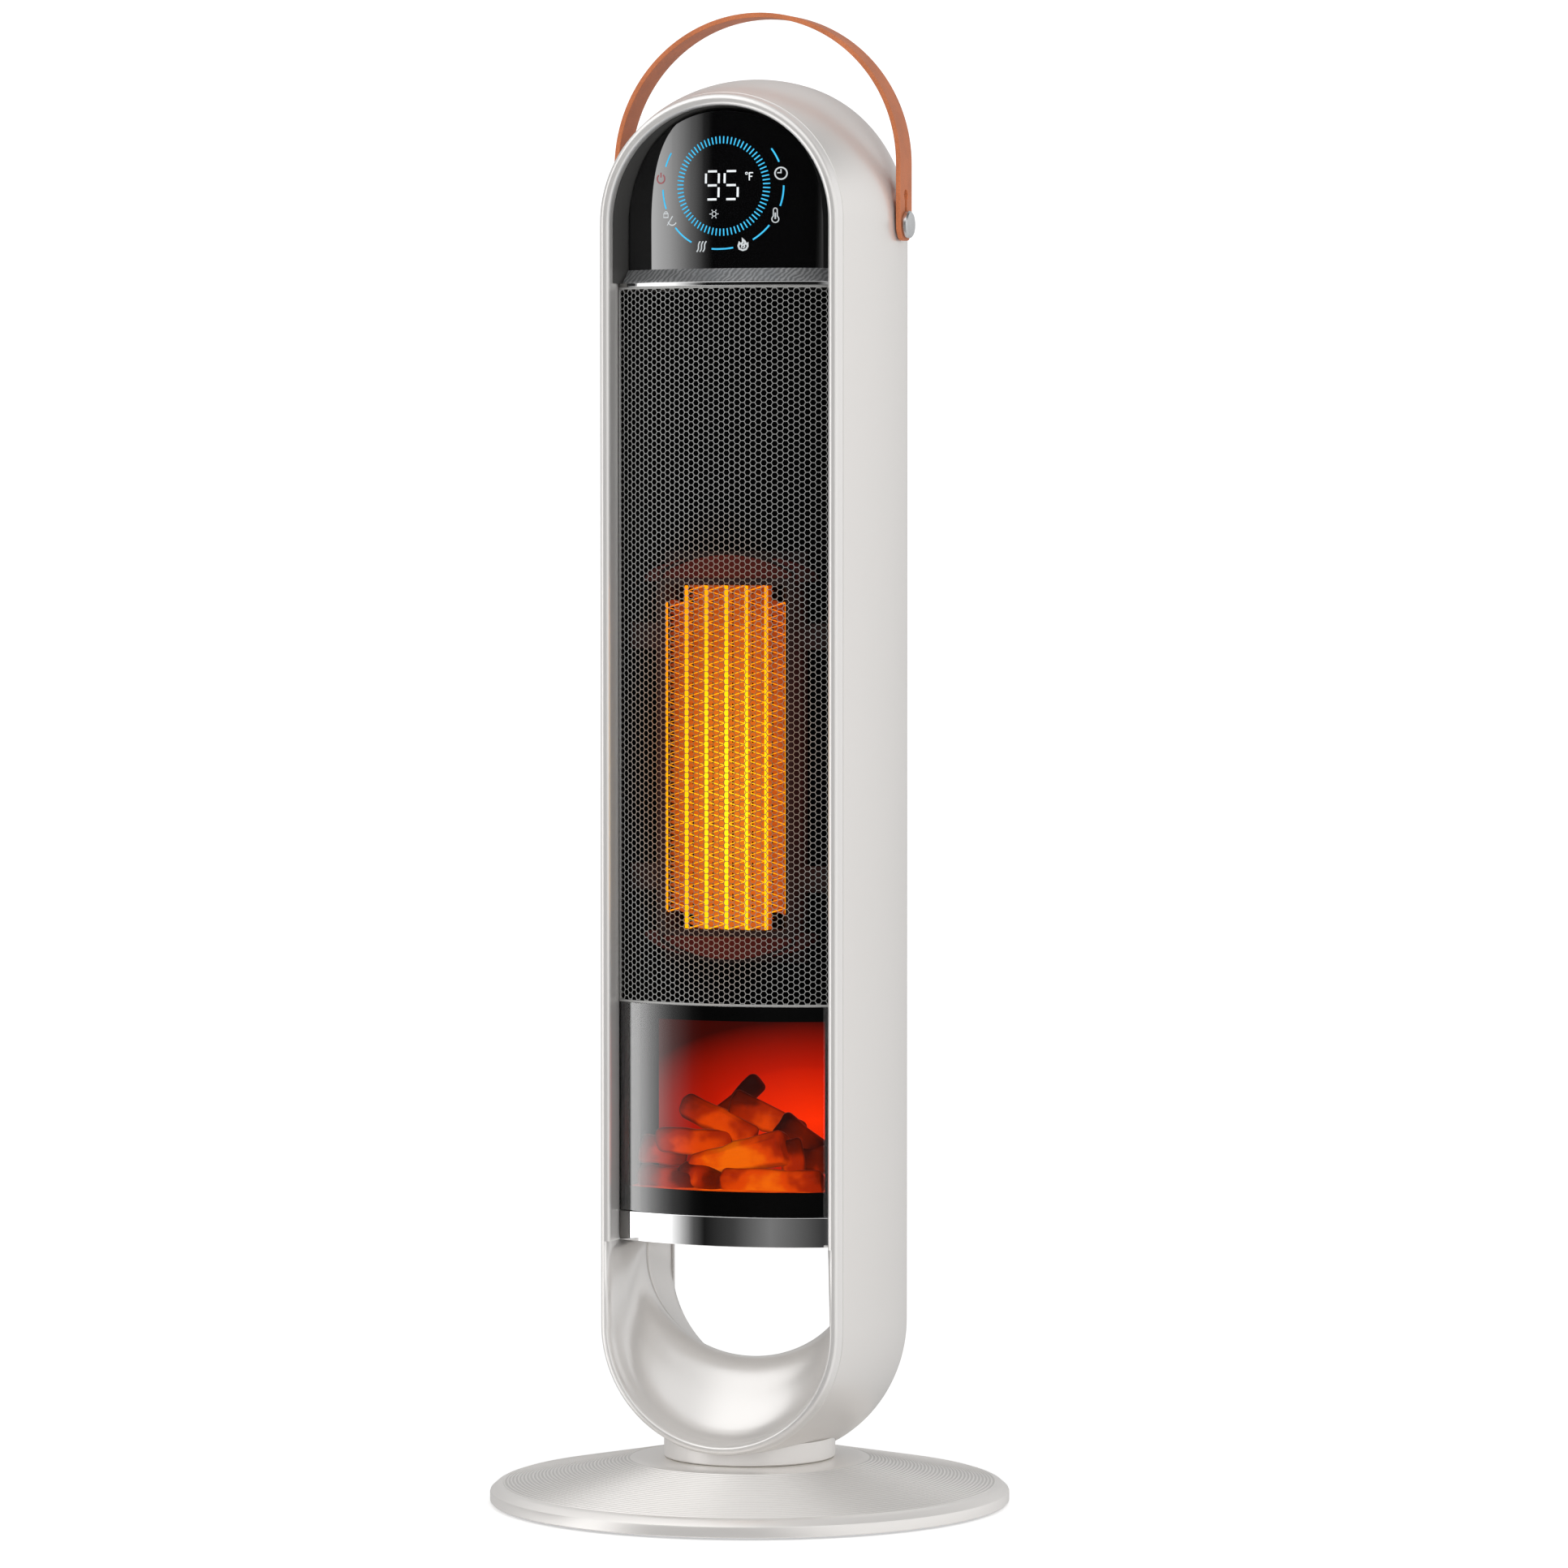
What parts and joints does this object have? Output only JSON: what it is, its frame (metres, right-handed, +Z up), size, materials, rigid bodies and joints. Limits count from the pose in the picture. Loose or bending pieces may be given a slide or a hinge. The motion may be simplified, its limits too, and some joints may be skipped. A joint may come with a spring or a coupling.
{
  "type": "ceramic tower heater",
  "caption": "Tall hoop-shaped heater on a round swivelling base: hexagon grille over a ceramic heater, flame window, dark round display and a carrying strap.",
  "frame": {"origin": "centre of the round base on the floor, which is also the swivel axis", "axes": "+Z up, front with display and grille towards -Y, +X to the right seen from the front"},
  "size_m": [0.28, 0.28, 0.8005],
  "materials": {
    "pearl_shell": "soft gloss",
    "gray_plastic": "fine texture",
    "dark_plastic": "satin",
    "ledge_film": "gloss",
    "black_plastic": "gloss",
    "steel": "satin",
    "weight_steel": "matte",
    "foot_rubber": "matte",
    "acetal": "satin",
    "filter_mesh": "matte",
    "display_glass": "mirror gloss",
    "circuit_board": "satin",
    "digit_block": "diffuse",
    "spring_gold": "bright",
    "bright_trim": "mirror",
    "grille_sheet": "satin",
    "heater_frame": "matte",
    "heating_bar": "glowing",
    "fin_sheet": "satin",
    "duct_sheet": "satin",
    "ceramic_body": "matte",
    "fan_sheet": "satin",
    "bearing_bronze": "satin",
    "window_glass": "clear gloss",
    "log_glow": "translucent",
    "ember_glow": "translucent",
    "glow_panel": "diffuse",
    "led_board": "satin",
    "relay_blue": "satin",
    "capacitor_sleeve": "gloss",
    "tan_leather": "smooth grain",
    "stud_steel": "satin"
  },
  "bodies": {
    "base": {"base_cover": "pearl_shell", "base_plate": "gray_plastic", "base_weight": "weight_steel", "rubber_feet": "foot_rubber", "base_screws": "steel", "glide_ring": "acetal", "fixed_gear": "acetal", "gear_screws": "steel"},
    "tower": {"swivel_neck": "pearl_shell", "spindle_retainer": "steel", "retainer_screws": "steel", "neck_screws": "steel", "swing_motor": "steel", "tilt_switch": "black_plastic", "rear_shell": "pearl_shell", "front_frame": "pearl_shell", "back_cover": "gray_plastic", "cover_screws": "steel", "dust_filter": "filter_mesh", "chassis": "dark_plastic", "display_glass": "display_glass", "display_bezel": "dark_plastic", "display_board": "circuit_board", "digit_block": "digit_block", "touch_springs": "spring_gold", "ledge": "ledge_film", "trim_strip": "bright_trim", "front_grille": "grille_sheet", "heater_frame": "heater_frame", "heating_bars": "heating_bar", "fin_stacks": "fin_sheet", "heat_duct": "duct_sheet", "thermal_cutout": "steel", "thermal_fuse": "ceramic_body", "fan_housing": "dark_plastic", "fan_bearing": "bearing_bronze", "fan_motor": "steel", "flame_window": "window_glass", "flame_chamber": "dark_plastic", "log_pile": "log_glow", "ember_bed": "ember_glow", "glow_panel": "glow_panel", "led_board": "led_board", "chrome_band": "bright_trim", "column_floor": "pearl_shell", "power_board": "circuit_board", "relays": "relay_blue", "capacitors": "capacitor_sleeve", "handle_studs": "stud_steel", "stud_nuts": "steel", "cord_gland": "gray_plastic", "switch_frame": "black_plastic"},
    "pinion": {"drive_pinion": "acetal"},
    "fan": {"fan_wheel": "fan_sheet", "fan_shaft": "steel"},
    "handle": {"handle_strap": "tan_leather"},
    "rocker": {"switch_rocker": "black_plastic"}
  },
  "joints": [
    {"name": "tower_swing", "type": "hinge", "parent": "base", "child": "tower", "pos_m": [0, 0, 0], "axis": [0, 0, 1], "range_deg": [-40, 40]},
    {"name": "pinion_spin", "type": "hinge", "parent": "tower", "child": "pinion", "pos_m": [-0.032, 0, 0], "axis": [0, 0, 1], "range_deg": [-121, 121]},
    {"name": "fan_spin", "type": "hinge", "parent": "tower", "child": "fan", "pos_m": [0, 0.008, 0.4], "axis": [0, 0, 1], "continuous": true},
    {"name": "handle_swing", "type": "hinge", "parent": "tower", "child": "handle", "pos_m": [0, 0.02, 0.6864], "axis": [1, 0, 0], "range_deg": [-90, 90]},
    {"name": "rocker_tip", "type": "hinge", "parent": "tower", "child": "rocker", "pos_m": [-0.019, 0.0416, 0.05], "axis": [0, 0, 1], "range_deg": [0, 22]}
  ],
  "couplings": [
    {"joint": "pinion_spin", "follows": "tower_swing", "ratio": 3}
  ]
}
